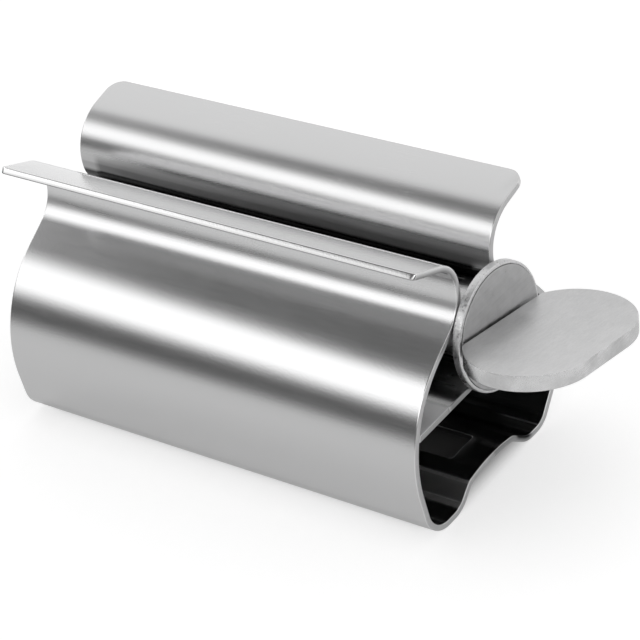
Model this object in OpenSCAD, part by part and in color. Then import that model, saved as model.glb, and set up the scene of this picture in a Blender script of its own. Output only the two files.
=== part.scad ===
// Tube squeezer: a folded steel shell with a slotted winding key that rests on a shelf inside it.
// X runs along the shell, with the key's head at +X. Y runs from the front lip to the back, Z is up.
// The origin is in the middle of the front foot, on the surface that the squeezer stands on.

/* [Folded shell] */
// Length of the shell
shell_len = 90; // [70:1:120]
// Thickness of the shell's sheet
sheet_t = 1.1; // [0.8:0.1:1.4]
// Distance between the middles of the front and rear foot
foot_pitch = 24.4; // [22:0.1:30]
// Width of the flat that the front foot stands on
front_foot_flat = 1.6; // [1:0.1:3]
// Width of the flat that the rear foot stands on
rear_foot_flat = 1.2; // [1:0.1:3]
// Bend radius of the front foot, to the middle of the sheet
front_foot_r = 4.8; // [3.5:0.1:6]
// Bend radius of the rear foot, to the middle of the sheet
rear_foot_r = 4.4; // [3.5:0.1:5]
// Clear height under the middle of the arch between the feet
arch_h = 3.6; // [2.8:0.1:4.2]
// Radius of the slight bow across the arch, to the middle of the sheet
arch_bow_r = 28; // [24:1:40]
// Bend radius at the two edges of the arch
arch_r = 2; // [1.5:0.1:2.3]
// Distance of the arch's front bend behind the middle of the front foot
arch_front = 7; // [7:0.1:8.5]
// Distance of the arch's rear bend in front of the middle of the rear foot
arch_rear = 6.7; // [6.6:0.1:8]
// How far the front wall stands in front of the middle of the front foot
front_reach = 6.4; // [5.5:0.1:9]
// How far the rear wall stands behind the middle of the rear foot
rear_reach = 12.1; // [10:0.1:15]
// Bend radius of the front wall, to the middle of the sheet
front_wall_r = 22.2; // [19:0.1:26]
// Bend radius of the rear wall above its widest point
rear_wall_r = 20.2; // [17:0.1:24]
// Bend radius of the rear wall below its widest point
rear_flank_r = 8.5; // [6:0.1:11]

/* [Throat and lips] */
// Distance of the throat's middle behind the middle of the front foot
throat_y = 18; // [16:0.1:20]
// Clear width of the throat, where the tube's tail goes in
throat_gap = 8.2; // [5:0.1:10]
// Slope of the front shoulder between wall and throat, in degrees
front_shoulder_deg = 30; // [26:0.5:36]
// Slope of the rear shoulder between wall and throat, in degrees
rear_shoulder_deg = 38.5; // [33:0.5:43]
// Least space between the key's shaft and the front shoulder
front_roof_gap = 2.1; // [1.5:0.1:3]
// Least space between the key's shaft and the rear shoulder
rear_roof_gap = 0.4; // [0.3:0.1:1.5]
// Bend radius at the foot of the front neck
front_neck_r = 7.6; // [6:0.1:9]
// Bend radius at the foot of the rear neck
rear_neck_r = 4.4; // [3:0.1:6]
// Straight height of each neck wall
neck_straight = 0.5; // [0.2:0.1:3]
// Bend radius of the front lip
front_lip_r = 5.1; // [4:0.1:6.5]
// How far the front lip reaches forward of its neck
front_lip_reach = 9.6; // [8:0.1:14]
// How far the front lip's edge rises above the middle of the neck bend
front_lip_rise = 8; // [7:0.1:10]
// Bend radius of the rear lip
rear_lip_r = 8.4; // [6.5:0.1:10]
// How far the rear lip reaches back from its neck
rear_lip_reach = 12.7; // [11:0.1:16]
// How far the rear lip's edge rises above the middle of the neck bend
rear_lip_rise = 10; // [9.5:0.1:13]
// Corner radius at the two ends of the front lip
front_corner_r = 1; // [0.5:0.1:3]
// Corner radius at the two ends of the rear lip
rear_corner_r = 3; // [2:0.1:6]

/* [Window in the arch] */
// Length of the window along the shell
window_len = 12; // [6:0.5:16]
// Width of the window across the arch
window_w = 6.4; // [4:0.1:7]
// Distance of the window from the shell's right end
window_inset = 5.8; // [4:0.1:20]
// Corner radius of the window
window_r = 0.8; // [0.4:0.1:1.5]

/* [Shelf] */
// Height of the shelf's top above the table
shelf_z = 20.1; // [17:0.1:23]
// Thickness of the shelf's plate
shelf_t = 1.1; // [0.8:0.1:1.5]
// Size of the weld beads under the shelf
bead = 1.1; // [0.8:0.1:1.6]
// Length of one weld bead
bead_len = 8; // [5:0.5:12]
// Number of weld beads along each wall
bead_count = 3; // [2:1:4]

/* [Winding key] */
// Distance of the key's axis behind the middle of the throat
key_back = 1.1; // [0:0.1:2]
// Outer diameter of the key's shaft
shaft_d = 13.2; // [12:0.1:15]
// Wall of the key's shaft
shaft_wall = 1; // [0.8:0.1:1.6]
// Distance of the shaft's tip inside the shell's left end
tip_inset = 1; // [0.5:0.1:5]
// Width of the slot that takes the tube's tail
slot_w = 2; // [1.2:0.1:3]
// Length of shaft that is left unslotted at the head
slot_root = 7; // [4:0.5:15]
// Depth of the slot's flared mouth at the tip
slot_mouth = 3; // [1:0.5:6]
// Diameter of the collar against the shell's right end
collar_d = 22.1; // [19.5:0.1:24]
// Thickness of the collar
collar_t = 1.2; // [1:0.1:2]
// Chamfer round the two edges of the collar
collar_chamfer = 0.35; // [0.1:0.05:0.45]
// Diameter of the head disc in front of the collar
head_d = 20.9; // [19.5:0.1:23]
// Thickness of the head disc
head_t = 0.5; // [0.4:0.1:1.5]
// Chamfer round the two edges of the head disc
head_chamfer = 0.15; // [0.05:0.05:0.2]

/* [Thumb plate] */
// Length of the thumb plate from tip to tip
plate_w = 33.2; // [28:0.1:38]
// Width of the thumb plate's full oblong outline
plate_d = 21.4; // [18:0.1:26]
// Thickness of the thumb plate
plate_t = 2.8; // [2:0.1:4]
// How much of the oblong is cut off where it meets the head disc
plate_trim = 0.9; // [0.5:0.1:2]
// How far the thumb plate is turned back from level, in degrees
plate_tilt = 12; // [0:0.5:45]
// How far the middle of the thumb plate lies above the key's axis
plate_rise = 0.3; // [0:0.1:1]
// Leg of the weld fillet under the thumb plate
fillet_leg = 1.2; // [0.8:0.1:2]

/* [Clearances] */
// Gap between the shaft and the shelf that it lies on
rest_gap = 0.2; // [0.15:0.05:0.5]
// Gap between the shell's right end and the collar
end_gap = 0.3; // [0.2:0.05:0.6]
// Radial running clearance of the shaft in the collar
run_gap = 0.05; // [0.02:0.01:0.1]
// Gap between the collar and the head disc
stack_gap = 0.1; // [0.05:0.05:0.3]
// Gap between the shelf's long edges and the walls, bridged by the weld beads
seat_gap = 0.05; // [0.02:0.01:0.2]

/* [Hidden] */
$fn = 96;
bend_step = 5;
over = 1;
bow_ease = 0.02;
half_t = sheet_t / 2;
half_l = shell_len / 2;
shaft_r = shaft_d / 2;
shaft_bore_r = shaft_r - shaft_wall;
key_y = throat_y + key_back;
axis_z = shelf_z + rest_gap + shaft_r;

// Middle of the sheet at its most forward, most backward and narrowest places.
front_y = half_t - front_reach;
rear_y = foot_pitch + rear_reach - half_t;
front_neck_y = throat_y - throat_gap / 2 - half_t;
rear_neck_y = throat_y + throat_gap / 2 + half_t;

// A shoulder is a flat that clears the shaft by its roof gap, with a wall bend under its lower end
// and a neck bend over its upper end. This gives the height of a point at y that lies clear mm
// from the shaft's axis, square to the flat, so that a bend about that point touches the flat.
function shoulder_z(y, clear, side, deg) =
    axis_z + (clear + side * (y - key_y) * sin(deg)) / cos(deg);
front_wall_y = front_y + front_wall_r;
front_clear = shaft_r + front_roof_gap + half_t;
front_wall_z = shoulder_z(front_wall_y, front_clear - front_wall_r, 1, front_shoulder_deg);
front_bend_y = front_neck_y - front_neck_r;
front_neck_z = shoulder_z(front_bend_y, front_clear + front_neck_r, 1, front_shoulder_deg);
rear_wall_y = rear_y - rear_wall_r;
rear_clear = shaft_r + rear_roof_gap + half_t;
rear_wall_z = shoulder_z(rear_wall_y, rear_clear - rear_wall_r, -1, rear_shoulder_deg);
rear_bend_y = rear_neck_y + rear_neck_r;
rear_neck_z = shoulder_z(rear_bend_y, rear_clear + rear_neck_r, -1, rear_shoulder_deg);

// The arch is one slight bow between two tight bends. These lie just outside the bow's circle, so
// that a short flat joins each of them to it.
arch_rear_y = foot_pitch - arch_rear;
bow_y = (arch_front + arch_rear_y) / 2;
bow_z = arch_h + half_t - arch_bow_r;
function arch_bend_z(y) =
    bow_z + sqrt(pow(arch_bow_r - arch_r + bow_ease, 2) - pow(y - bow_y, 2));

front_tip = [front_neck_y - front_lip_reach, front_neck_z + front_lip_rise];
rear_tip = [rear_neck_y + rear_lip_reach, rear_neck_z + rear_lip_rise];

// The fold, from the front lip's edge to the rear lip's edge. Each bend is [y, z, radius, turn],
// with turn 1 to the left and -1 to the right, and flats run straight from bend to bend.
fold = [
    [front_tip.x, front_tip.y, 0, 0],
    [front_neck_y - front_lip_r, front_neck_z + neck_straight, front_lip_r, -1],
    [front_bend_y, front_neck_z, front_neck_r, -1],
    [front_wall_y, front_wall_z, front_wall_r, 1],
    [-front_foot_flat / 2, front_foot_r + half_t, front_foot_r, 1],
    [front_foot_flat / 2, front_foot_r + half_t, front_foot_r, 1],
    [arch_front, arch_bend_z(arch_front), arch_r, -1],
    [bow_y, bow_z, arch_bow_r, -1],
    [arch_rear_y, arch_bend_z(arch_rear_y), arch_r, -1],
    [foot_pitch - rear_foot_flat / 2, rear_foot_r + half_t, rear_foot_r, 1],
    [foot_pitch + rear_foot_flat / 2, rear_foot_r + half_t, rear_foot_r, 1],
    [rear_y - rear_flank_r, rear_wall_z, rear_flank_r, 1],
    [rear_wall_y, rear_wall_z, rear_wall_r, 1],
    [rear_bend_y, rear_neck_z, rear_neck_r, -1],
    [rear_neck_y + rear_lip_r, rear_neck_z + neck_straight, rear_lip_r, -1],
    [rear_tip.x, rear_tip.y, 0, 0]
];

// Heading of the flat from bend a to bend b.
function heading(a, b) =
    let (run = [b[0] - a[0], b[1] - a[1]], shift = b[3] * b[2] - a[3] * a[2])
    atan2(run.y, run.x) - asin(shift / norm(run));
function wrapped(angle) = angle - 360 * floor((angle + 180) / 360);
// A line along the fold, 'side' to the left of the middle of the sheet.
function fold_line(bends, side) = [
    for (i = [0 : len(bends) - 1])
        let (b = bends[i],
             first = i == 0,
             last = i == len(bends) - 1,
             enter = first ? heading(b, bends[1]) : heading(bends[i - 1], b),
             leave = last ? enter : heading(b, bends[i + 1]),
             turn = wrapped(leave - enter),
             steps = first || last ? 0 : max(1, ceil(abs(turn) / bend_step)))
        for (k = [0 : steps])
            let (h = enter + (steps == 0 ? 0 : turn * k / steps),
                 off = side - b[3] * b[2])
            [b[0] - off * sin(h), b[1] + off * cos(h)]
];

function reversed(list) = [for (i = [len(list) - 1 : -1 : 0]) list[i]];

// Stands a drawing of the YZ section up and draws it out along X, over a length about the middle.
module along_x(length) {
    translate([-length / 2, 0, 0]) rotate([90, 0, 90]) linear_extrude(height = length) children();
}

// The room inside the folded sheet, kept a gap away from it.
module inside(gap) {
    polygon(fold_line(fold, half_t + gap));
}

// What a rounded corner takes off a lip's end: a square less a quarter round. It points along +X, +Y.
module corner_waste(r) {
    difference() {
        square(r + over);
        circle(r);
    }
}

// Rounds the two corners of the lip that ends at 'tip' and reaches outward, to -Y or +Y.
module lip_corners(tip, outward, r) {
    for (end = [-1, 1])
        translate([end * (half_l - r), tip.x - outward * r, tip.y - r])
            mirror([end < 0 ? 1 : 0, 0, 0])
                mirror([0, outward < 0 ? 1 : 0, 0])
                    linear_extrude(height = 2 * r + over) corner_waste(r);
}

module window_cut() {
    translate([half_l - window_inset - window_len, bow_y - window_w / 2, arch_h - over])
        linear_extrude(height = sheet_t + 2 * over) {
            translate([window_r, 0]) square([window_len - 2 * window_r, window_w]);
            translate([0, window_r]) square([window_len, window_w - 2 * window_r]);
            for (x = [window_r, window_len - window_r])
                for (y = [window_r, window_w - window_r])
                    translate([x, y]) circle(window_r);
        }
}

module shell() {
    color("silver")
        difference() {
            along_x(shell_len)
                polygon(concat(fold_line(fold, half_t), reversed(fold_line(fold, -half_t))));
            lip_corners(front_tip, -1, front_corner_r);
            lip_corners(rear_tip, 1, rear_corner_r);
            window_cut();
        }
}

module shelf_band(top, thickness) {
    translate([front_y, top - thickness]) square([rear_y - front_y, thickness]);
}

module shelf() {
    color("darkgray")
        along_x(shell_len)
            intersection() {
                inside(seat_gap);
                shelf_band(shelf_z, shelf_t);
            }
}

module shelf_welds() {
    pitch = shell_len / bead_count;
    color("dimgray")
        for (i = [0 : bead_count - 1])
            translate([(i + 0.5) * pitch - half_l, 0, 0])
                along_x(bead_len)
                    difference() {
                        intersection() {
                            inside(0);
                            shelf_band(shelf_z - shelf_t, bead);
                        }
                        inside(bead);
                    }
}

// The key's own frame: X along the shaft from the shell's right end, and the thumb plate level.
module in_key() {
    translate([half_l, key_y, axis_z]) rotate([-plate_tilt, 0, 0]) children();
}

// A disc round the key's axis from x = start, with a chamfered rim.
module key_disc(start, thickness, d, chamfer) {
    translate([start, 0, 0])
        rotate([0, 90, 0])
            rotate_extrude()
                polygon([
                    [0, 0],
                    [d / 2 - chamfer, 0],
                    [d / 2, chamfer],
                    [d / 2, thickness - chamfer],
                    [d / 2 - chamfer, thickness],
                    [0, thickness]
                ]);
}

head_x = end_gap + collar_t + stack_gap;
plate_x = head_x + head_t;
tip_x = tip_inset - shell_len;

module key_shaft() {
    slot_end = head_x - slot_root;
    color("gainsboro")
        in_key()
            difference() {
                translate([tip_x, 0, 0])
                    rotate([0, 90, 0]) cylinder(h = head_x - tip_x, r = shaft_r);
                translate([tip_x - over, 0, 0])
                    rotate([0, 90, 0]) cylinder(h = head_x - tip_x + 2 * over, r = shaft_bore_r);
                linear_extrude(height = shaft_d + 2 * over, center = true)
                    polygon([
                        [tip_x - over, -slot_w],
                        [tip_x, -slot_w],
                        [tip_x + slot_mouth, -slot_w / 2],
                        [slot_end, -slot_w / 2],
                        [slot_end, slot_w / 2],
                        [tip_x + slot_mouth, slot_w / 2],
                        [tip_x, slot_w],
                        [tip_x - over, slot_w]
                    ]);
            }
}

module collar() {
    color("lightgray")
        in_key()
            difference() {
                key_disc(end_gap, collar_t, collar_d, collar_chamfer);
                translate([end_gap - over, 0, 0])
                    rotate([0, 90, 0]) cylinder(h = collar_t + 2 * over, r = shaft_r + run_gap);
            }
}

module head_disc() {
    color("darkgray")
        in_key()
            key_disc(head_x, head_t, head_d, head_chamfer);
}

plate_r = plate_d / 2;
plate_mid_x = plate_x - plate_trim + plate_r;
root_half = plate_w / 2 - plate_r + sqrt(plate_r * plate_r - pow(plate_r - plate_trim, 2));

module thumb_plate() {
    color("lightgray")
        in_key()
            translate([0, 0, plate_rise - plate_t / 2])
                linear_extrude(height = plate_t)
                    difference() {
                        union() {
                            for (side = [-1, 1])
                                translate([plate_mid_x, side * (plate_w / 2 - plate_r)])
                                    circle(plate_r);
                            translate([plate_mid_x - plate_r, plate_r - plate_w / 2])
                                square([plate_d, plate_w - plate_d]);
                        }
                        translate([plate_x - plate_d, -plate_w]) square([plate_d, 2 * plate_w]);
                    }
}

// A hollow fillet in the corner between the head disc and the underside of the thumb plate.
module thumb_weld() {
    color("dimgray")
        in_key()
            translate([plate_x, root_half - fillet_leg, plate_rise - plate_t / 2])
                rotate([90, 0, 0])
                    linear_extrude(height = 2 * (root_half - fillet_leg))
                        difference() {
                            translate([0, -fillet_leg]) square(fillet_leg);
                            translate([fillet_leg, -fillet_leg]) circle(fillet_leg);
                        }
}

shell();
shelf();
shelf_welds();
key_shaft();
collar();
head_disc();
thumb_plate();
thumb_weld();
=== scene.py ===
import math

import bmesh
import bpy
from mathutils import Matrix, Vector


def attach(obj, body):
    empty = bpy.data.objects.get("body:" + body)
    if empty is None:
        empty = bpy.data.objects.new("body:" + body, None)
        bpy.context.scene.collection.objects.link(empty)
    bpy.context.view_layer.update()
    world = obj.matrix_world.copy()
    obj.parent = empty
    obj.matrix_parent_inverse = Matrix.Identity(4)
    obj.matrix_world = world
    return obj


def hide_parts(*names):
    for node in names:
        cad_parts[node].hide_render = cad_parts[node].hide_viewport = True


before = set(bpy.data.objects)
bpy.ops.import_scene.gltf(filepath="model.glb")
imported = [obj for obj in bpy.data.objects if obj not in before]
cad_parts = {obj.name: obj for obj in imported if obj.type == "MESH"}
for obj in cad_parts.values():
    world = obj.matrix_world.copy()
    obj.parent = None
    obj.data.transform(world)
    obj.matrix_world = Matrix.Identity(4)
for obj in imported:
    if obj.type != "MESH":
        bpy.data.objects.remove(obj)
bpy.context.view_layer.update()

mm = 0.001
xAxis = Vector((1, 0, 0))
mergeGap = 0.001 * mm  # points nearer than this are one point
flatAngle = math.radians(0.5)  # faces that meet at less than this are one face
sharpAngle = math.radians(40)  # edges sharper than this get rounded


# Sockets as values: sums and products of them add Math nodes, all else comes from Graph.add.
class Wire:
    def __init__(self, graph, socket):
        self.graph, self.socket = graph, socket

    def calc(self, operation, a, b=0.0):
        return self.graph.add("ShaderNodeMath", {"operation": operation}, {0: a, 1: b})

    def other(self, name):
        return Wire(self.graph, self.socket.node.outputs[name])

    def __add__(self, value):
        return self.calc("ADD", self, value)

    def __radd__(self, value):
        return self.calc("ADD", value, self)

    def __sub__(self, value):
        return self.calc("SUBTRACT", self, value)

    def __rsub__(self, value):
        return self.calc("SUBTRACT", value, self)

    def __mul__(self, value):
        return self.calc("MULTIPLY", self, value)

    def __rmul__(self, value):
        return self.calc("MULTIPLY", value, self)

    def size(self):
        return self.calc("ABSOLUTE", self)

    def root(self):
        return self.calc("SQRT", self)

    def atLeast(self, value):
        return self.calc("MAXIMUM", self, value)


class Graph:
    def __init__(self, tree):
        self.tree = tree

    def add(self, kind, settings=None, sockets=None, out=0):
        node = self.tree.nodes.new(kind)
        for name, value in (settings or {}).items():
            if name == "stops":
                self.setStops(node.color_ramp, value)
            else:
                setattr(node, name, value)
        for name, value in (sockets or {}).items():
            if isinstance(value, Wire):
                self.tree.links.new(value.socket, node.inputs[name])
            else:
                node.inputs[name].default_value = value
        return Wire(self, node.outputs[out] if node.outputs else None)

    def setStops(self, ramp, stops):
        while len(ramp.elements) < len(stops):
            ramp.elements.new(0.5)
        for element, (place, level) in zip(ramp.elements, stops):
            element.position = place
            element.color = (level, level, level, 1)

    def rise(self, value, start, end, kind="LINEAR"):
        # 0 at the start, 1 at the end, which may be the lower of the two
        return self.add("ShaderNodeMapRange", {"interpolation_type": kind},
                        {"Value": value, "From Min": start, "From Max": end})

    def grey(self, tone, blue=1.0):
        return self.add("ShaderNodeCombineColor", None, {"Red": tone, "Green": tone, "Blue": tone * blue})


def emptyTree(data):
    # the node tree of a new material or world, cleared
    data.use_nodes = True
    data.node_tree.nodes.clear()
    return Graph(data.node_tree)


# Mesh helpers
def addPiece(name, mesh, material, body, nodes, smoothAngle=40):
    piece = bpy.data.objects.new(name, mesh)
    bpy.context.scene.collection.objects.link(piece)
    if not mesh.materials:
        mesh.materials.append(material)
    mesh.shade_smooth()
    mesh.set_sharp_from_angle(angle=math.radians(smoothAngle))
    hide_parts(*nodes)
    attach(piece, body)
    print("made", name, len(mesh.polygons), "faces")


def meshOf(source, name):
    # what an object looks like with its modifiers, as a plain mesh; the object itself goes
    bpy.context.view_layer.update()
    shown = source.evaluated_get(bpy.context.evaluated_depsgraph_get())
    mesh = bpy.data.meshes.new_from_object(shown)
    mesh.name = name
    bpy.data.objects.remove(source)
    return mesh


def tempObject(name, data):
    held = bpy.data.objects.new(name, data)
    bpy.context.scene.collection.objects.link(held)
    return held


def addBevel(source, width, segments):
    bevel = source.modifiers.new("edges", "BEVEL")
    bevel.width, bevel.segments = width, segments
    bevel.limit_method, bevel.angle_limit = "ANGLE", sharpAngle


def cleaned(mesh, turnOut=False):
    # merges doubled points and flat neighbours, and turns the faces outwards where asked
    work = bmesh.new()
    work.from_mesh(mesh)
    bmesh.ops.remove_doubles(work, verts=work.verts, dist=mergeGap)
    bmesh.ops.dissolve_limit(work, angle_limit=flatAngle, verts=work.verts, edges=work.edges)
    if turnOut:
        bmesh.ops.recalc_face_normals(work, faces=work.faces)
    work.to_mesh(mesh)
    work.free()
    return mesh


def plateMesh(name, outlines, thickness, edgeRound, steps=3):
    # a plate with rounded edges, from closed outlines in XY: first its rim, then its holes
    drawn = bpy.data.curves.new(name, "CURVE")
    drawn.dimensions, drawn.fill_mode = "2D", "BOTH"
    drawn.extrude = thickness / 2 - edgeRound
    drawn.bevel_depth, drawn.bevel_resolution, drawn.offset = edgeRound, steps, -edgeRound
    for outline in outlines:
        spline = drawn.splines.new("POLY")
        spline.points.add(len(outline) - 1)
        for point, (x, y) in zip(spline.points, outline):
            point.co = (x, y, 0, 1)
        spline.use_cyclic_u = True
    return cleaned(meshOf(tempObject(name, drawn), name), turnOut=True)


def cutAcross(mesh, cuts):
    # cuts is a list of (axis number, place): each adds a line of edges square to that axis
    work = bmesh.new()
    work.from_mesh(mesh)
    for axis, place in cuts:
        spot, facing = Vector((0, 0, 0)), Vector((0, 0, 0))
        spot[axis], facing[axis] = place, 1
        everything = work.verts[:] + work.edges[:] + work.faces[:]
        bmesh.ops.bisect_plane(work, geom=everything, dist=2 * mergeGap, plane_co=spot,
                               plane_no=facing)
    work.to_mesh(mesh)
    work.free()


def roundedBox(x0, y0, x1, y1, radii, steps=10):
    # corner points with a radius each, from (x0, y0) round to the left
    corners = [(x0, y0, 180), (x1, y0, 270), (x1, y1, 0), (x0, y1, 90)]
    inward = [(1, 1), (-1, 1), (-1, -1), (1, -1)]
    points = []
    for (x, y, start), (dx, dy), r in zip(corners, inward, radii):
        for k in range(steps + 1):
            a = math.radians(start + 90 * k / steps)
            points.append((x + dx * r + r * math.cos(a), y + dy * r + r * math.sin(a)))
    return points


def lathe(name, profile, segments=144):
    # turns (x, radius) points about the X axis, closed unless they start and end on the axis
    work = bmesh.new()
    rows = []
    for x, r in profile:
        if r == 0:
            rows.append([work.verts.new((x, 0, 0))] * segments)
            continue
        turn = [2 * math.pi * k / segments for k in range(segments)]
        rows.append([work.verts.new((x, r * math.cos(a), r * math.sin(a))) for a in turn])
    closed = profile[0][1] > 0
    for i in range(len(rows) if closed else len(rows) - 1):
        a, b = rows[i], rows[(i + 1) % len(rows)]
        for k in range(segments):
            n = (k + 1) % segments
            corners = list(dict.fromkeys([a[k], a[n], b[n], b[k]]))
            work.faces.new(corners)
    bmesh.ops.recalc_face_normals(work, faces=work.faces)
    mesh = bpy.data.meshes.new(name)
    work.to_mesh(mesh)
    work.free()
    return mesh


def newTree(name, inputs):
    # an empty geometry tree with named inputs, each (name, socket type)
    tree = bpy.data.node_groups.new(name, "GeometryNodeTree")
    tree.interface.new_socket(name="Geometry", in_out="INPUT", socket_type="NodeSocketGeometry")
    for label, kind in inputs:
        tree.interface.new_socket(name=label, in_out="INPUT", socket_type=kind)
    tree.interface.new_socket(name="Geometry", in_out="OUTPUT", socket_type="NodeSocketGeometry")
    graph = Graph(tree)
    return graph, graph.add("NodeGroupInput")


def endTree(graph, geometry, entry):
    solid = graph.add("GeometryNodeRealizeInstances", None, {"Geometry": geometry})
    finished = graph.add("GeometryNodeSetMaterial", None,
                         {"Geometry": solid, "Material": entry.other("Finish")})
    graph.add("NodeGroupOutput", None, {"Geometry": finished})
    return graph.tree


def runTree(mesh, name, tree, values):
    source = tempObject(name, mesh)
    modifier = source.modifiers.new(name, "NODES")
    modifier.node_group = tree
    for item in tree.interface.items_tree:
        if item.in_out == "INPUT" and item.name in values:
            modifier[item.identifier] = values[item.name]
    return meshOf(source, name)


# Steel, brushed one way: the grain is stretched along X, Y or Z, the way of the brushing. Its long fine
# lines and short coarse ones set tone and roughness, and clouds the size of a patch make both uneven.
brushing = {"longLines": 60, "shortLines": 25, "shortSize": 5, "longShare": 0.6, "lineDetail": 2,
            "lineRoughness": 0.6, "cloudDetail": 3, "pitDetail": 2, "roughSpread": 0.7, "cloudSpread": 2,
            "blue": 1.004, "bumpDepth": 0.02 * mm}


# A zone changes the tone or roughness of one part of a piece. Its limits are in mm: "end" is the way from
# the middle of the length to both ends, "y" and "z" are places, "run" is how wide a limit is blurred, and
# "fade" is full at its first X and gone at its second. "mark" is an attribute of the mesh.
def steel(name, base, rough, grain, along, streak=0.1, bump=0.15, mottle=0.03, patch=12 * mm, pits=0.0,
          pitSize=0.45 * mm, waves=0.0, zones=()):
    material = bpy.data.materials.new(name)
    g = emptyTree(material)
    place = g.add("ShaderNodeTexCoord", None, None, "Object")

    def lines(size, stretch):
        scale = [1 / size] * 3
        scale["XYZ".index(along)] = 1 / (size * stretch)
        moved = g.add("ShaderNodeMapping", None, {"Vector": place, "Scale": scale})
        return g.add("ShaderNodeTexNoise", None, {
            "Vector": moved, "Scale": 1, "Detail": brushing["lineDetail"],
            "Roughness": brushing["lineRoughness"]})

    def clouds(size, detail):
        return g.add("ShaderNodeTexNoise", None, {"Vector": place, "Scale": 1 / size, "Detail": detail})

    def share(zone):
        # how far a point is in the zone, 0 to 1
        x = g.add("ShaderNodeSeparateXYZ", None, {"Vector": place})
        inZone = 1
        for axis in ("end", "y", "z"):
            if axis not in zone:
                continue
            value = x.size() if axis == "end" else x.other(axis.upper())
            for limit, side in zip(zone[axis], (-1, 1)):
                if limit is not None:
                    inZone = inZone * g.rise(value, (limit + side * zone["run"]) * mm, limit * mm)
        if "fade" in zone:
            full, gone = zone["fade"]
            inZone = inZone * g.rise(x, gone * mm, full * mm)
        if "mark" in zone:
            marked = g.add("ShaderNodeAttribute", {"attribute_name": zone["mark"]}, None, "Fac")
            inZone = inZone * (1 - marked if zone.get("unmarked") else marked)
        return inZone

    fine = lines(grain, brushing["longLines"])
    coarse = lines(grain * brushing["shortSize"], brushing["shortLines"])
    brushed = fine * brushing["longShare"] + coarse * (1 - brushing["longShare"]) - 0.5
    cloud = clouds(patch, brushing["cloudDetail"]) - 0.5
    roughSpread, cloudSpread = rough * brushing["roughSpread"], mottle * brushing["cloudSpread"]
    roughness = rough + brushed * roughSpread + cloud * cloudSpread
    tone = base + brushed * streak + cloud * mottle
    for zone in zones:
        inZone = share(zone)
        tone = tone + inZone * (cloud * zone.get("uneven", 0) + zone.get("tone", 0))
        roughness = roughness + inZone * zone.get("rough", 0)
    relief = fine * bump + cloud * waves
    if pits:
        relief = relief + clouds(pitSize, brushing["pitDetail"]) * pits
    bumped = g.add("ShaderNodeBump", None,
                   {"Strength": 1.0, "Distance": brushing["bumpDepth"], "Height": relief})
    surface = g.add("ShaderNodeBsdfPrincipled", None, {
        "Base Color": g.grey(tone, brushing["blue"]), "Metallic": 1.0, "Roughness": roughness,
        "Normal": bumped})
    g.add("ShaderNodeOutputMaterial", None, {"Surface": surface})
    return material


# The places are the shell's own: its neck is between y 13.5 and 22.5, its lips are above z 38
shellZones = [
    # the outside and lip at the rear, a little duller
    {"y": (23, None), "z": (34, None), "run": 3, "rough": 0.08},
    # inside the throat, which light hardly reaches
    {"y": (13.5, 22.5), "z": (None, 37), "run": 0.4, "tone": -0.12},
    {"y": (13.5, 22.5), "z": (None, 37), "run": 2.5, "mark": "inner", "tone": -0.18},
    # the rear neck: painted shade, black at its foot; a dull grey band of painted reflection above; more
    # painted shade towards the left end
    {"y": (20, 23), "z": (None, 35.2), "run": 0.7, "mark": "inner", "tone": -0.4},
    {"y": (20, 24), "z": (36, 38.2), "run": 0.9, "mark": "inner", "tone": 0.1, "rough": 0.22},
    {"end": (None, 40.5), "y": (20, 24), "z": (None, 37.6), "run": 1.4, "fade": (-34, -8),
     "mark": "inner", "tone": -0.28},
    # the front lip: painted light on top, painted shade below, and where its neck starts painted lighter
    # and duller
    {"y": (None, 13), "z": (39.5, None), "run": 1, "mark": "inner", "tone": 0.2, "rough": -0.04},
    {"y": (None, 13), "z": (39.5, None), "run": 1, "mark": "inner", "unmarked": True, "tone": -0.3,
     "rough": -0.04},
    {"y": (4, 13.2), "z": (34, 39), "run": 1.5, "mark": "inner", "unmarked": True, "tone": 0.1,
     "rough": 0.12},
    # the cut ends: a painted highlight along the corner, and a dull face
    {"end": (44.8, None), "run": 0.06, "tone": 0.12},
    {"end": (44.96, None), "run": 0.06, "tone": -0.19, "rough": 0.2},
]
shelfZones = [
    # painted: a pale reflection in front and shade further back; and its sawn ends
    {"y": (None, 4.8), "run": 1, "tone": 0.33, "rough": 0.4},
    {"y": (5.4, None), "run": 0.8, "tone": -0.32},
    {"end": (44.99, None), "y": (None, 5), "run": 0.04, "tone": -0.45},
    {"end": (44.99, None), "y": (5, None), "run": 0.04, "tone": 0.06, "rough": 0.2},
]
keyZones = [{"end": (41, None), "run": 4, "tone": 0.3}]  # the key's dark base is painted shade for the part inside the shell, lifted near the ends
plateZones = [
    # shade beside the head disc, and brighter patches on the plate's edge
    {"end": (None, 51), "y": (None, 21), "run": 2.5, "tone": -0.13},
    {"mark": "rim", "tone": 0.02, "uneven": 0.5, "rough": -0.17},
]
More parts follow.
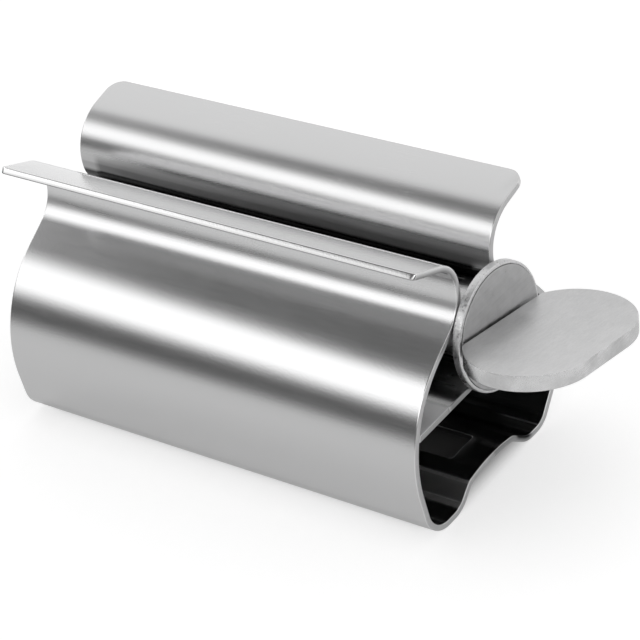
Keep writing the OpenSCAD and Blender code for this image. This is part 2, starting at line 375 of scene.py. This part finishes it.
finishes = {
    "shell": {"base": 0.74, "rough": 0.17, "grain": 0.08 * mm, "along": "X", "streak": 0.06,
              "bump": 0.08, "patch": 25 * mm, "pits": 0.25, "pitSize": 0.36 * mm, "zones": shellZones},
    "shelf": {"base": 0.6, "rough": 0.1, "grain": 0.1 * mm, "along": "X", "bump": 0.12,
              "zones": shelfZones},
    # the key's dark base is painted shade for the shaft inside the shell; keyZones lift it near the ends
    "key": {"base": 0.4, "rough": 0.3, "grain": 0.1 * mm, "along": "X", "streak": 0.25, "bump": 0.3,
            "mottle": 0.06, "patch": 2 * mm, "zones": keyZones},
    "disc": {"base": 0.53, "rough": 0.38, "grain": 0.13 * mm, "along": "Y", "streak": 0.25,
             "bump": 0.25, "mottle": 0.2, "patch": 1.4 * mm},
    "rim": {"base": 0.76, "rough": 0.36, "grain": 0.13 * mm, "along": "X", "streak": 0.3, "bump": 0.3,
            "mottle": 0.35, "patch": 0.5 * mm, "pits": 3.0},
    "plate": {"base": 0.77, "rough": 0.42, "grain": 0.12 * mm, "along": "Y", "streak": 0.3,
              "bump": 0.25, "mottle": 0.1, "patch": 4 * mm, "waves": 1.5, "zones": plateZones},
    "weld": {"base": 0.5, "rough": 0.4, "grain": 0.3 * mm, "along": "X", "streak": 0.2, "bump": 0.5,
             "mottle": 0.2, "patch": 0.8 * mm, "pits": 1.0},
}
steels = {name: steel(name + "Steel", **values) for name, values in finishes.items()}
print("finishes ready")


# The folded sheet, in mm and degrees: the same bends as the solid's, with finer steps
sheet = {
    "length": 90, "thick": 1.1,
    # feet and the arch between them
    "footPitch": 24.4, "frontFootFlat": 1.6, "rearFootFlat": 1.2, "frontFootBend": 4.8,
    "rearFootBend": 4.4, "archHeight": 3.6, "archBow": 28, "archBend": 2, "archFront": 7,
    "archRear": 6.7, "bowEase": 0.02, "archLimit": 8,
    # walls and the roof's two slopes
    "frontReach": 6.4, "rearReach": 12.1, "frontWallBend": 22.2, "rearWallBend": 20.2,
    "rearFlankBend": 8.5, "frontSlope": 30, "rearSlope": 38.5, "frontRoofGap": 2.1, "rearRoofGap": 0.4,
    # throat and lips
    "throatY": 18, "throatGap": 8.2, "frontNeckBend": 7.6, "rearNeckBend": 4.4, "neckStraight": 0.5,
    "frontLipBend": 5.1, "frontLipReach": 9.6, "frontLipRise": 8, "rearLipBend": 8.4,
    "rearLipReach": 12.7, "rearLipRise": 10,
    # the flat blank's corners, window and edges
    "frontCorner": 1, "rearCorner": 3, "windowLength": 12, "windowWidth": 6.4, "windowInset": 5.8,
    "windowCorner": 0.8, "edgeRound": 0.2, "edgeLean": 26, "leanRun": 0.8,
    # fineness
    "longestStep": 0.6, "widestTurn": 4, "cutPitch": 6, "sideMargin": 0.1, "lipMargin": 0.05,
}
# The key as a whole: its axis, how far it is turned, and the gaps between shell, collar and head
key = {"axisY": 19.1, "axisZ": 26.9, "tilt": 12, "endGap": 0.3, "runGap": 0.05, "stackGap": 0.1}
shaft = {"radius": 6.6, "wall": 1, "tipInset": 1, "slot": 2, "slotRoot": 7, "slotMouth": 3,
         "tipRound": 0.15, "edgeRound": 0.12, "cutterReach": 8, "cutterLead": 1}


def bowMiddle():
    return (sheet["archFront"] + sheet["footPitch"] - sheet["archRear"]) / 2


def foldBends():
    # each bend is its centre (y, z), its radius and the side it turns to
    s, half = sheet, sheet["thick"] / 2
    frontY, rearY = half - s["frontReach"], s["footPitch"] + s["rearReach"] - half
    neckFront = s["throatY"] - s["throatGap"] / 2 - half
    neckRear = s["throatY"] + s["throatGap"] / 2 + half

    def shoulderZ(y, clear, side, slope):
        a = math.radians(slope)
        return key["axisZ"] + (clear + side * (y - key["axisY"]) * math.sin(a)) / math.cos(a)

    frontClear = shaft["radius"] + s["frontRoofGap"] + half
    rearClear = shaft["radius"] + s["rearRoofGap"] + half
    frontWallY, rearWallY = frontY + s["frontWallBend"], rearY - s["rearWallBend"]
    frontBendY, rearBendY = neckFront - s["frontNeckBend"], neckRear + s["rearNeckBend"]
    frontWallZ = shoulderZ(frontWallY, frontClear - s["frontWallBend"], 1, s["frontSlope"])
    frontNeckZ = shoulderZ(frontBendY, frontClear + s["frontNeckBend"], 1, s["frontSlope"])
    rearWallZ = shoulderZ(rearWallY, rearClear - s["rearWallBend"], -1, s["rearSlope"])
    rearNeckZ = shoulderZ(rearBendY, rearClear + s["rearNeckBend"], -1, s["rearSlope"])
    archFront, archRear, bowY = s["archFront"], s["footPitch"] - s["archRear"], bowMiddle()
    bowZ = s["archHeight"] + half - s["archBow"]

    def archZ(y):
        return bowZ + math.sqrt((s["archBow"] - s["archBend"] + s["bowEase"]) ** 2 - (y - bowY) ** 2)

    frontFootZ, rearFootZ = s["frontFootBend"] + half, s["rearFootBend"] + half
    return [
        (neckFront - s["frontLipReach"], frontNeckZ + s["frontLipRise"], 0, 0),
        (neckFront - s["frontLipBend"], frontNeckZ + s["neckStraight"], s["frontLipBend"], -1),
        (frontBendY, frontNeckZ, s["frontNeckBend"], -1),
        (frontWallY, frontWallZ, s["frontWallBend"], 1),
        (-s["frontFootFlat"] / 2, frontFootZ, s["frontFootBend"], 1),
        (s["frontFootFlat"] / 2, frontFootZ, s["frontFootBend"], 1),
        (archFront, archZ(archFront), s["archBend"], -1),
        (bowY, bowZ, s["archBow"], -1),
        (archRear, archZ(archRear), s["archBend"], -1),
        (s["footPitch"] - s["rearFootFlat"] / 2, rearFootZ, s["rearFootBend"], 1),
        (s["footPitch"] + s["rearFootFlat"] / 2, rearFootZ, s["rearFootBend"], 1),
        (rearY - s["rearFlankBend"], rearWallZ, s["rearFlankBend"], 1),
        (rearWallY, rearWallZ, s["rearWallBend"], 1),
        (rearBendY, rearNeckZ, s["rearNeckBend"], -1),
        (neckRear + s["rearLipBend"], rearNeckZ + s["neckStraight"], s["rearLipBend"], -1),
        (neckRear + s["rearLipReach"], rearNeckZ + s["rearLipRise"], 0, 0),
    ]


def foldLine(bends):
    # points (y, z) along the middle of the sheet
    def heading(a, b):
        runY, runZ = b[0] - a[0], b[1] - a[1]
        shift = b[3] * b[2] - a[3] * a[2]
        return math.atan2(runZ, runY) - math.asin(shift / math.hypot(runY, runZ))

    points = []
    for i, (y, z, r, turnSide) in enumerate(bends):
        if r == 0:
            points.append((y, z))
            continue
        enter, leave = heading(bends[i - 1], bends[i]), heading(bends[i], bends[i + 1])
        turn = (leave - enter + math.pi) % (2 * math.pi) - math.pi
        byLength = abs(turn) * r / sheet["longestStep"]
        byTurn = abs(math.degrees(turn)) / sheet["widestTurn"]
        steps = math.ceil(max(byLength, byTurn, 1))
        for k in range(steps + 1):
            h = enter + turn * k / steps
            points.append((y + turnSide * r * math.sin(h), z - turnSide * r * math.cos(h)))
    return points


def flatBlank(line):
    # the unfolded sheet: X along the shell, Y the way along the fold line, from the front lip's edge
    lengths = [0]
    for a, b in zip(line, line[1:]):
        lengths.append(lengths[-1] + math.dist(a, b))
    total, half = lengths[-1], sheet["length"] / 2

    # the window sits where the line passes the middle of the arch, on its way from foot to foot
    bow, limit = bowMiddle(), sheet["archLimit"]
    before = next(i for i in range(len(line) - 1)
                  if line[i][0] <= bow < line[i + 1][0] and line[i][1] < limit)
    part = (bow - line[before][0]) / (line[before + 1][0] - line[before][0])
    middle = lengths[before] + part * (lengths[before + 1] - lengths[before])
    right, wide = half - sheet["windowInset"], sheet["windowWidth"] / 2
    rim = roundedBox(-half, 0, half, total, [sheet["frontCorner"]] * 2 + [sheet["rearCorner"]] * 2)
    window = roundedBox(right - sheet["windowLength"], middle - wide, right, middle + wide,
                        [sheet["windowCorner"]] * 4)
    scaled = [[(x * mm, y * mm) for x, y in outline] for outline in (rim, window[::-1])]
    blank = plateMesh("blank", scaled, sheet["thick"] * mm, sheet["edgeRound"] * mm)

    # lines of edges for it to bend at
    edge = half - sheet["edgeRound"] - sheet["sideMargin"]
    reach = int(half / sheet["cutPitch"])
    across = [-edge, edge] + [k * sheet["cutPitch"] for k in range(-reach, reach + 1)]
    along = lengths[1:-1] + [sheet["edgeRound"] + sheet["lipMargin"], sheet["leanRun"]]
    cutAcross(blank, [(1, place * mm) for place in along] + [(0, place * mm) for place in across])

    # the side that ends up inside the shell is marked, as the two sides of its lip are lit apart
    marks = blank.attributes.new("inner", "FLOAT", "POINT")
    for mark, vert in zip(marks.data, blank.vertices):
        mark.value = 1 if vert.co.z > 0 else 0

    # the front lip's edge leans back a little, so that it shows light from the camera's side
    lean, run = math.tan(math.radians(sheet["edgeLean"])), sheet["leanRun"] * mm
    for vert in blank.vertices:
        nearness = 1 - vert.co.y / run
        if nearness > 0:
            vert.co.y += min(nearness, 1) * lean * (vert.co.z + sheet["thick"] / 2 * mm)
    return blank


def foldTree():
    # lays each point of the flat blank on the fold line
    g, entry = newTree("foldSheet", [
        ("Fold line", "NodeSocketObject"), ("Finish", "NodeSocketMaterial")])
    course = g.add("GeometryNodeObjectInfo", None, {"Object": entry.other("Fold line")}, "Geometry")
    here = g.add("ShaderNodeSeparateXYZ", None, {"Vector": g.add("GeometryNodeInputPosition")})
    sample = g.add("GeometryNodeSampleCurve", {"mode": "LENGTH"},
                   {"Curves": course, "Length": here.other("Y")}, "Position")
    out = g.add("ShaderNodeVectorMath", {"operation": "CROSS_PRODUCT"},
                {0: xAxis, 1: sample.other("Tangent")})
    raised = g.add("ShaderNodeVectorMath", {"operation": "SCALE"}, {0: out, "Scale": here.other("Z")})
    onLine = g.add("ShaderNodeVectorMath", {"operation": "ADD"}, {0: sample, 1: raised})
    beside = g.add("ShaderNodeCombineXYZ", None, {"X": here.other("X")})
    folded = g.add("ShaderNodeVectorMath", {"operation": "ADD"}, {0: onLine, 1: beside})
    placed = g.add("GeometryNodeSetPosition", None,
                   {"Geometry": entry.other("Geometry"), "Position": folded})
    return endTree(g, placed, entry)


def makeShell():
    line = foldLine(foldBends())
    drawn = bpy.data.curves.new("foldLine", "CURVE")
    drawn.dimensions = "3D"
    spline = drawn.splines.new("POLY")
    spline.points.add(len(line) - 1)
    for point, (y, z) in zip(spline.points, line):
        point.co = (0, y * mm, z * mm, 1)
    path = tempObject("foldLine", drawn)
    mesh = runTree(flatBlank(line), "foldedShell", foldTree(),
                   {"Fold line": path, "Finish": steels["shell"]})
    bpy.data.objects.remove(path)
    addPiece("foldedShell", mesh, steels["shell"], "squeezer", ["shell"])


shelf = {"edgeRound": 0.16, "steps": 3}


def makeShelf():
    # the solid's own mesh with its sharp edges rounded a little
    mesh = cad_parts["shelf"].data.copy()
    mesh.name = "shelfPlate"
    mesh.materials.clear()
    source = tempObject("shelfPlate", cleaned(mesh))
    addBevel(source, shelf["edgeRound"] * mm, shelf["steps"])
    mesh = meshOf(source, "shelfPlate")
    addPiece("shelfPlate", mesh, steels["shelf"], "squeezer", ["shelf"])


# The key's own frame: X along its shaft from the shell's right end, the thumb plate level
collar = {"radius": 11.05, "thick": 1.2, "round": 0.3, "lipDepth": 0.42, "lipGap": 0.1}
head = {"radius": 10.45, "thick": 0.5, "round": 0.14}
inKey = (
    Matrix.Translation(Vector((sheet["length"] / 2, key["axisY"], key["axisZ"])) * mm)
    @ Matrix.Rotation(math.radians(-key["tilt"]), 4, "X")
)
headX = key["endGap"] + collar["thick"] + key["stackGap"]
plateX = headX + head["thick"]


def slotCutter(tip):
    # a bar as wide as the slot, with a flared mouth at the shaft's tip
    slotEnd, slot, mouth = headX - shaft["slotRoot"], shaft["slot"], shaft["slotMouth"]
    lead, reach = shaft["cutterLead"], shaft["cutterReach"]
    outline = [(tip - lead, -slot), (tip, -slot), (tip + mouth, -slot / 2), (slotEnd, -slot / 2),
               (slotEnd, slot / 2), (tip + mouth, slot / 2), (tip, slot), (tip - lead, slot)]
    work = bmesh.new()
    low = [work.verts.new((x * mm, y * mm, -reach * mm)) for x, y in outline]
    high = [work.verts.new((x * mm, y * mm, reach * mm)) for x, y in outline]
    work.faces.new(low[::-1])
    work.faces.new(high)
    for i in range(len(outline)):
        n = (i + 1) % len(outline)
        work.faces.new((low[i], low[n], high[n], high[i]))
    mesh = bpy.data.meshes.new("slotCutter")
    work.to_mesh(mesh)
    work.free()
    return tempObject("slotCutter", mesh)


def makeShaft():
    tip, soft = shaft["tipInset"] - sheet["length"], shaft["tipRound"]
    outer, inner = shaft["radius"], shaft["radius"] - shaft["wall"]
    profile = [(tip, inner + soft), (tip, outer - soft), (tip + soft, outer), (headX, outer),
               (headX, inner), (tip + soft, inner)]
    source = tempObject("slottedTube", lathe("slottedTube", [(x * mm, r * mm) for x, r in profile]))
    tool = slotCutter(tip)
    cut = source.modifiers.new("slot", "BOOLEAN")
    cut.object, cut.operation, cut.solver = tool, "DIFFERENCE", "EXACT"
    addBevel(source, shaft["edgeRound"] * mm, 2)
    mesh = meshOf(source, "slottedTube")
    bpy.data.objects.remove(tool)
    mesh.transform(inKey)
    addPiece("slottedTube", mesh, steels["key"], "key", ["key_shaft"])


def discProfile(start, thick, radius, rounding, bore=0.0, steps=4):
    # half section of a disc with a rounded rim
    points = [(start, bore)]
    for side, base in ((0, start), (1, start + thick)):
        for k in range(steps + 1):
            a = math.radians(90 * k / steps)
            inset = 1 - math.sin(a) if side == 0 else 1 - math.cos(a)
            back = 1 - math.cos(a) if side == 0 else 1 - math.sin(a)
            x = base + rounding * back if side == 0 else base - rounding * back
            points.append((x, radius - rounding * inset))
    points.append((start + thick, bore))
    return [(x * mm, r * mm) for x, r in points]


def makeDiscs():
    # the collar's rim stands up round the head disc, with a narrow dark gap between them
    face, bore = key["endGap"] + collar["thick"], shaft["radius"] + key["runGap"]
    ring = discProfile(key["endGap"], collar["thick"] + collar["lipDepth"], collar["radius"],
                       collar["round"], bore)
    lipFoot = (head["radius"] + collar["lipGap"]) * mm
    ring[-1:] = [(ring[-1][0], lipFoot), (face * mm, lipFoot), (face * mm, bore * mm)]
    mesh = lathe("collarRing", ring)
    mesh.transform(inKey)
    addPiece("collarRing", mesh, steels["rim"], "key_collar", ["collar"])
    mesh = lathe("headDisc", discProfile(headX, head["thick"], head["radius"], head["round"]))
    mesh.transform(inKey)
    addPiece("headDisc", mesh, steels["disc"], "key", ["head_disc"])


plate = {"length": 33.2, "width": 21.4, "thick": 2.8, "trim": 0.9, "rise": 0.3, "round": 0.15,
         "roundSteps": 4, "rootGap": 0.42, "arcSteps": 48}


def makePlate():
    # an oblong with its root cut off straight where it meets the head disc
    r = plate["width"] / 2
    centreX = plateX - plate["trim"] + r
    lobe = plate["length"] / 2 - r
    reach = math.asin((r - plate["trim"] - plate["rootGap"]) / r)
    outline = []
    for side in (-1, 1):
        for k in range(plate["arcSteps"] + 1):
            swing = (math.pi / 2 + reach) * k / plate["arcSteps"]
            a = -math.pi / 2 - reach + swing if side < 0 else swing
            outline.append((centreX + r * math.cos(a), side * lobe + r * math.sin(a)))
    mesh = plateMesh("thumbPlate", [[(x * mm, y * mm) for x, y in outline]], plate["thick"] * mm,
                     plate["round"] * mm, plate["roundSteps"])
    marks = mesh.attributes.new("rim", "FLOAT", "FACE")
    for mark, face in zip(marks.data, mesh.polygons):
        mark.value = 1 if abs(face.normal.z) < 0.5 else 0
    mesh.transform(inKey @ Matrix.Translation((0, 0, plate["rise"] * mm)))
    addPiece("thumbPlate", mesh, steels["plate"], "key", ["thumb_plate"])


# Weld beads, overlapping ripples along a seam: three under each side of the shelf, one under the plate
beads = {"radius": 0.78, "pitch": 0.55, "flat": 0.75, "jitter": 0.1, "fineness": 3, "smoothAngle": 60,
         "shelfZ": 20.1, "shelfThick": 1.1, "count": 3, "length": 8, "tuck": 0.3, "thumbHalf": 9.2,
         "shelfSeed": 3, "thumbSeed": 7}


def innerY(z, rear):
    # where the shell's inner face stands at a height, on its front or rear side
    line, half = foldLine(foldBends()), sheet["thick"] / 2
    inner = []
    for a, b in zip(line, line[1:]):
        run, stepY, stepZ = math.dist(a, b), b[0] - a[0], b[1] - a[1]
        inner.append(((a[0] + b[0]) / 2 - half * stepZ / run,
                      (a[1] + b[1]) / 2 + half * stepY / run))
    hits = []
    for a, b in zip(inner, inner[1:]):
        if (a[1] - z) * (b[1] - z) <= 0 and a[1] != b[1]:
            hits.append(a[0] + (b[0] - a[0]) * (z - a[1]) / (b[1] - a[1]))
    return max(hits) if rear else min(hits)


def rippleTree():
    g, entry = newTree("weldRipples", [
        ("Bead radius", "NodeSocketFloat"), ("Ripple pitch", "NodeSocketFloat"),
        ("Ripple length", "NodeSocketFloat"), ("Jitter", "NodeSocketFloat"),
        ("Seed", "NodeSocketInt"), ("Finish", "NodeSocketMaterial")])
    seam = g.add("GeometryNodeMeshToCurve", None, {"Mesh": entry.other("Geometry")})
    spots = g.add("GeometryNodeCurveToPoints", {"mode": "LENGTH"},
                  {"Curve": seam, "Length": entry.other("Ripple pitch")})
    ball = g.add("GeometryNodeMeshIcoSphere", None,
                 {"Radius": entry.other("Bead radius"), "Subdivisions": beads["fineness"]})
    jitter = entry.other("Jitter")
    spread = g.add("FunctionNodeRandomValue", {"data_type": "FLOAT"},
                   {2: 1 - jitter, 3: 1 + jitter, "Seed": entry.other("Seed")}, 1)
    size = g.add("ShaderNodeCombineXYZ", None,
                 {"X": spread, "Y": spread, "Z": entry.other("Ripple length")})
    ripples = g.add("GeometryNodeInstanceOnPoints", None, {
        "Points": spots, "Instance": ball, "Rotation": spots.other("Rotation"), "Scale": size})
    return endTree(g, ripples, entry)


def makeBead(name, tree, seams, seed, body, node):
    # seams are straight runs, each from one point to another
    mesh = bpy.data.meshes.new(name)
    ends = [Vector(p) * mm for seam in seams for p in seam]
    mesh.from_pydata(ends, [(i, i + 1) for i in range(0, len(ends), 2)], [])
    made = runTree(mesh, name, tree, {
        "Bead radius": beads["radius"] * mm, "Ripple pitch": beads["pitch"] * mm,
        "Ripple length": beads["flat"], "Jitter": beads["jitter"], "Seed": seed, "Finish": steels["weld"]})
    if body == "key":
        made.transform(inKey)
    addPiece(name, made, steels["weld"], body, [node], beads["smoothAngle"])


def makeWelds():
    tree = rippleTree()
    under = beads["shelfZ"] - beads["shelfThick"]
    pitch, seams = sheet["length"] / beads["count"], []
    for rear, inward in ((False, 1), (True, -1)):
        y = innerY(under, rear) + inward * beads["tuck"]
        for i in range(beads["count"]):
            x = (i + 0.5) * pitch - sheet["length"] / 2
            seams.append([(x + end * beads["length"] / 2, y, under - beads["tuck"]) for end in (-1, 1)])
    makeBead("shelfBeads", tree, seams, beads["shelfSeed"], "squeezer", "shelf_welds")
    low = plate["rise"] - plate["thick"] / 2 - beads["tuck"]
    seam = [(plateX + beads["tuck"], side * beads["thumbHalf"], low) for side in (-1, 1)]
    makeBead("thumbBead", tree, [seam], beads["thumbSeed"], "key", "thumb_weld")


makeShell()
makeShelf()
makeShaft()
makeDiscs()
makePlate()
makeWelds()


# A pale floor: it glows white for the camera, less in the metal, and not under the squeezer, where a
# painted shadow darkens it
floor = {"size": 6, "tone": 0.58, "hiddenTone": 0.12, "seenGlow": 0.6, "mirrorGlow": 0.2,
         "farGlow": 0.25, "farY": (60, 220), "darkX": 39, "darkY": (2, 22), "darkFade": 7}


def makeFloor():
    half = floor["size"] / 2
    mesh = bpy.data.meshes.new("floor")
    mesh.from_pydata([(-half, -half, 0), (half, -half, 0), (half, half, 0), (-half, half, 0)], [],
                     [(0, 1, 2, 3)])
    material = bpy.data.materials.new("paleFloor")
    g = emptyTree(material)
    place = g.add("ShaderNodeTexCoord", None, None, "Object")
    x = g.add("ShaderNodeSeparateXYZ", None, {"Vector": place})
    y = x.other("Y")

    # how far a point is from the painted shadow under the squeezer
    front, rear = floor["darkY"]
    aside = (x.size() - floor["darkX"] * mm).atLeast(0)
    along = ((y - (front + rear) / 2 * mm).size() - (rear - front) / 2 * mm).atLeast(0)
    away = (aside * aside + along * along).root()
    uncovered = g.rise(away, 0, floor["darkFade"] * mm, "SMOOTHSTEP")
    seen = g.add("ShaderNodeLightPath")
    mirrored = seen.other("Is Glossy Ray") + seen.other("Is Transmission Ray")
    near, far = floor["farY"]
    behind = g.rise(y, near * mm, far * mm)
    glowing = seen * floor["seenGlow"] + mirrored * (floor["mirrorGlow"] + behind * floor["farGlow"])
    glow = g.add("ShaderNodeEmission", None, {"Strength": uncovered * glowing})
    # the painted shadow also lowers the floor's tone under the squeezer
    tone = floor["hiddenTone"] + uncovered * (floor["tone"] - floor["hiddenTone"])
    plain = g.add("ShaderNodeBsdfDiffuse", None, {"Color": g.grey(tone)})
    both = g.add("ShaderNodeAddShader", None, {0: plain, 1: glow})
    g.add("ShaderNodeOutputMaterial", None, {"Surface": both})
    mesh.materials.append(material)
    tempObject("floor", mesh)


# The studio as the metal mirrors it. Stops are (elevation in degrees, level), and seam is how softly
# the front half meets the rear one. Of the white that the camera sees behind all, the metal gets a share.
sky = {
    "front": [(0, 0.55), (4, 0.25), (9, 0.1), (15, 0.1), (19, 0.3), (23, 1.05), (26, 1.5), (39, 1.5),
              (42, 0.85), (45, 0.26), (48, 0.14), (60, 0.14), (80, 0.3)],
    "rear": [(0, 0.5), (16, 0.6), (26, 0.9), (45, 0.86), (55, 0.8), (70, 0.6)],
    "seam": 0.12, "mirrorWhite": 0.1,
}


def makeSky():
    world = bpy.data.worlds.new("studio")
    bpy.context.scene.world = world
    g = emptyTree(world)
    way = g.add("ShaderNodeTexCoord", None, None, "Generated")
    x = g.add("ShaderNodeSeparateXYZ", None, {"Vector": way})
    share = sky["mirrorWhite"]

    def band(stops):
        # levels are less what the white adds to them
        ramp = [(math.sin(math.radians(el)), (level - share) / (1 - share)) for el, level in stops]
        return g.add("ShaderNodeValToRGB", {"stops": ramp}, {"Fac": x.other("Z")})

    side = g.rise(x.other("Y"), -sky["seam"], sky["seam"])
    colour = g.add("ShaderNodeMix", {"data_type": "RGBA"},
                   {"Factor": side, "A": band(sky["front"]), "B": band(sky["rear"])}, 2)
    seen = g.add("ShaderNodeLightPath")
    mirrored = seen.other("Is Glossy Ray") + seen.other("Is Transmission Ray")
    lit = g.add("ShaderNodeBackground", None, {"Color": colour, "Strength": 1.0})
    white = g.add("ShaderNodeBackground", None, {"Color": (1, 1, 1, 1), "Strength": 1.0})
    both = g.add("ShaderNodeMixShader", None, {0: seen + mirrored * share, 1: lit, 2: white})
    g.add("ShaderNodeOutputWorld", None, {"Surface": both})


# One soft lamp overhead, places in mm, which the metal doesn't mirror
lamp = {"place": (0, 60, 700), "aim": (0, 18, 20), "size": 0.8, "power": 1.0}


def makeLamp():
    data = bpy.data.lights.new("topLamp", "AREA")
    data.shape, data.size, data.energy = "DISK", lamp["size"], lamp["power"]
    held = tempObject("topLamp", data)
    held.location = Vector(lamp["place"]) * mm
    held.rotation_euler = (Vector(lamp["aim"]) * mm - held.location).to_track_quat("-Z", "Y").to_euler()
    held.visible_glossy = False


makeFloor()
makeSky()
makeLamp()
print("stage ready")

# Camera, placed by fitting the photo's own outlines: place in mm, turn in degrees
view = {"place": (299.110, -267.411, 297.749), "turn": (54.7342, 11.8238, 37.3071), "lens": 162.690,
        "sensor": 36, "clip": (0.01, 20)}
camData = bpy.data.cameras.new("camera")
camData.lens, camData.sensor_width = view["lens"], view["sensor"]
camData.clip_start, camData.clip_end = view["clip"]
camera = tempObject("camera", camData)
camera.location = Vector(view["place"]) * mm
camera.rotation_euler = [math.radians(a) for a in view["turn"]]
bpy.context.scene.camera = camera
bpy.context.scene.view_settings.view_transform = "Standard"
print("camera ready")
